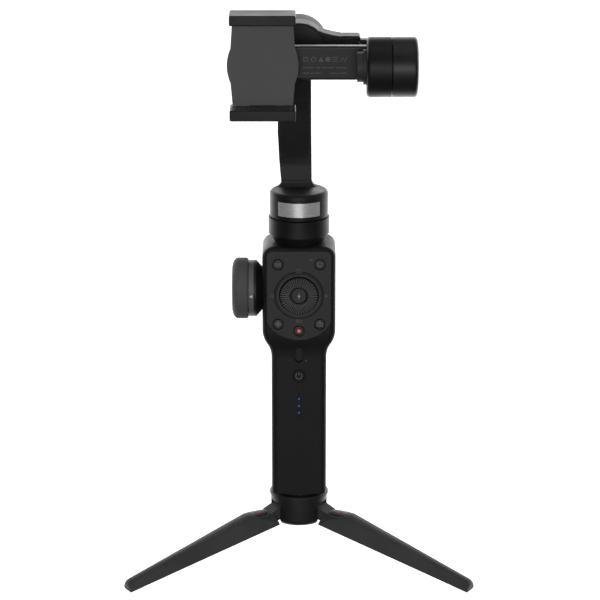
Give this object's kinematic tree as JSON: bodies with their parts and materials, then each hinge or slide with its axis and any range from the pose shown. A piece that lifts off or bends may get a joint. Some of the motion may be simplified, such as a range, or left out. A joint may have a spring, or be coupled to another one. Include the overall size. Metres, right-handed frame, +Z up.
{
  "type": "gimbal stabilizer",
  "caption": "Handheld motorised phone stabiliser with pan, roll and tilt axes, a spring phone clamp, thumb controls, a side hand wheel and a folding table tripod.",
  "frame": {"origin": "on the handle's axis, at the height of the surface that the three feet stand on", "axes": "+X to the tilt motor, +Y away from the person holding it, +Z up along the handle"},
  "size_m": [0.2326, 0.2022, 0.376],
  "materials": {
    "satin_shell": "satin moulded",
    "panel_grey": "fine matte",
    "key_plastic": "satin",
    "tripod_black": "satin moulded",
    "soft_rubber": "matte",
    "anodised_black": "black anodised, fine blasted",
    "index_grey": "satin",
    "boss_grey": "satin",
    "clamp_grey": "satin moulded",
    "brushed_plate": "brushed",
    "led_smoke": "smoked gloss",
    "fastener_steel": "turned",
    "insert_brass": "machined",
    "winding_core": "wound core",
    "cell_wrap": "shrink wrap",
    "board_green": "solder mask"
  },
  "bodies": {
    "base": {"tripod_hub": "tripod_black", "hub_ring": "tripod_black", "hub_pad": "soft_rubber", "tripod_stud": "fastener_steel", "leg_pins": "fastener_steel", "handle_front_shell": "satin_shell", "handle_rear_shell": "satin_shell", "handle_end_cap": "satin_shell", "thread_insert": "insert_brass", "battery_cell": "cell_wrap", "main_board": "board_green", "handle_screws": "fastener_steel", "control_panel": "panel_grey", "panel_board": "board_green", "dial_bezel": "panel_grey", "led_window": "led_smoke", "usb_port": "fastener_steel", "trigger_pin": "fastener_steel", "handwheel_ring": "index_grey", "handwheel_base": "satin_shell", "pan_base": "anodised_black", "pan_stator": "winding_core"},
    "leg_left_body": {"leg_left": "tripod_black", "foot_left": "soft_rubber"},
    "leg_right_body": {"leg_right": "tripod_black", "foot_right": "soft_rubber"},
    "leg_rear_body": {"leg_rear": "tripod_black", "foot_rear": "soft_rubber"},
    "dial_body": {"dial_wheel": "key_plastic"},
    "flash_button_body": {"flash_button": "key_plastic"},
    "menu_button_body": {"menu_button": "key_plastic"},
    "display_button_body": {"display_button": "key_plastic"},
    "mode_button_body": {"mode_button": "key_plastic"},
    "photo_button_body": {"photo_button": "key_plastic"},
    "record_button_body": {"record_button": "key_plastic"},
    "power_button_body": {"power_button": "satin_shell"},
    "slide_switch_body": {"slide_switch": "satin_shell"},
    "trigger_body": {"rear_trigger": "satin_shell"},
    "handwheel_body": {"handwheel_tyre": "soft_rubber", "handwheel_core": "satin_shell"},
    "pan_arm": {"pan_rotor": "anodised_black", "name_plate": "brushed_plate", "vertical_arm": "anodised_black", "vertical_arm_cover": "anodised_black", "roll_stator": "winding_core"},
    "roll_arm": {"roll_rotor": "anodised_black"},
    "arm_lock_body": {"arm_lock_knob": "clamp_grey"},
    "side_arm": {"crossing_arm": "anodised_black", "tilt_stator": "winding_core"},
    "tilt_head": {"tilt_rotor": "anodised_black", "tilt_boss": "boss_grey", "clamp_bar": "anodised_black"},
    "clamp_body": {"clamp_plate": "clamp_grey", "clamp_housing": "clamp_grey", "top_jaw": "clamp_grey", "top_jaw_pad": "soft_rubber", "clamp_spring": "fastener_steel"},
    "clamp_knob_body": {"clamp_knob": "clamp_grey"},
    "jaw_body": {"lower_jaw": "clamp_grey", "lower_jaw_pad": "soft_rubber"}
  },
  "joints": [
    {"name": "leg_left_fold", "type": "hinge", "parent": "base", "child": "leg_left_body", "pos_m": [-0.01039, -0.006, 0.0364], "axis": [0.5, -0.866, 0], "range_deg": [0, 77.3]},
    {"name": "leg_right_fold", "type": "hinge", "parent": "base", "child": "leg_right_body", "pos_m": [0.01039, -0.006, 0.0364], "axis": [0.5, 0.866, 0], "range_deg": [0, 77.3]},
    {"name": "leg_rear_fold", "type": "hinge", "parent": "base", "child": "leg_rear_body", "pos_m": [0, 0.012, 0.0364], "axis": [-1, 0, 0], "range_deg": [0, 77.3]},
    {"name": "dial_spin", "type": "hinge", "parent": "base", "child": "dial_body", "pos_m": [0, 0, 0.1908], "axis": [0, 1, 0], "continuous": true},
    {"name": "flash_button_press", "type": "slide", "parent": "base", "child": "flash_button_body", "axis": [0, 1, 0], "range_m": [0, 0.0006], "stiffness_N_per_m": 600, "springref_m": -0.001},
    {"name": "menu_button_press", "type": "slide", "parent": "base", "child": "menu_button_body", "axis": [0, 1, 0], "range_m": [0, 0.0006], "stiffness_N_per_m": 600, "springref_m": -0.001},
    {"name": "display_button_press", "type": "slide", "parent": "base", "child": "display_button_body", "axis": [0, 1, 0], "range_m": [0, 0.0006], "stiffness_N_per_m": 600, "springref_m": -0.001},
    {"name": "mode_button_press", "type": "slide", "parent": "base", "child": "mode_button_body", "axis": [0, 1, 0], "range_m": [0, 0.0006], "stiffness_N_per_m": 600, "springref_m": -0.001},
    {"name": "photo_button_press", "type": "slide", "parent": "base", "child": "photo_button_body", "axis": [0, 1, 0], "range_m": [0, 0.0006], "stiffness_N_per_m": 600, "springref_m": -0.001},
    {"name": "record_button_press", "type": "slide", "parent": "base", "child": "record_button_body", "axis": [0, 1, 0], "range_m": [0, 0.0006], "stiffness_N_per_m": 600, "springref_m": -0.001},
    {"name": "power_button_press", "type": "slide", "parent": "base", "child": "power_button_body", "axis": [0, 1, 0], "range_m": [0, 0.0005], "stiffness_N_per_m": 600, "springref_m": -0.001},
    {"name": "slide_switch_move", "type": "slide", "parent": "base", "child": "slide_switch_body", "axis": [0, 0, -1], "range_m": [0, 0.0039]},
    {"name": "trigger_pull", "type": "hinge", "parent": "base", "child": "trigger_body", "pos_m": [0, 0.0155, 0.186], "axis": [-1, 0, 0], "range_deg": [0, 7], "stiffness_Nm_per_rad": 0.12, "springref_deg": -17.19},
    {"name": "handwheel_spin", "type": "hinge", "parent": "base", "child": "handwheel_body", "pos_m": [0, 0, 0.19], "axis": [1, 0, 0], "continuous": true},
    {"name": "pan", "type": "hinge", "parent": "base", "child": "pan_arm", "pos_m": [0, 0, 0.2405], "axis": [0, 0, 1], "range_deg": [-150, 150]},
    {"name": "roll", "type": "hinge", "parent": "pan_arm", "child": "roll_arm", "pos_m": [0, 0.0663, 0.34], "axis": [0, 1, 0], "range_deg": [-200, 40]},
    {"name": "arm_slide", "type": "slide", "parent": "roll_arm", "child": "side_arm", "axis": [1, 0, 0], "range_m": [0, 0.014]},
    {"name": "arm_lock_turn", "type": "hinge", "parent": "roll_arm", "child": "arm_lock_body", "pos_m": [0.0358, 0.05, 0.34], "axis": [0, 1, 0], "continuous": true},
    {"name": "tilt", "type": "hinge", "parent": "side_arm", "child": "tilt_head", "pos_m": [0.0605, 0, 0.34], "axis": [1, 0, 0], "range_deg": [-180, 60]},
    {"name": "clamp_turn", "type": "hinge", "parent": "tilt_head", "child": "clamp_body", "pos_m": [-0.0236, 0.0122, 0.34], "axis": [0, 1, 0], "range_deg": [0, 90]},
    {"name": "clamp_knob_turn", "type": "hinge", "parent": "clamp_body", "child": "clamp_knob_body", "pos_m": [-0.0236, 0.023, 0.34], "axis": [0, 1, 0], "continuous": true},
    {"name": "jaw_open", "type": "slide", "parent": "clamp_body", "child": "jaw_body", "axis": [0, 0, -1], "range_m": [0, 0.029], "stiffness_N_per_m": 120, "springref_m": -0.02}
  ]
}
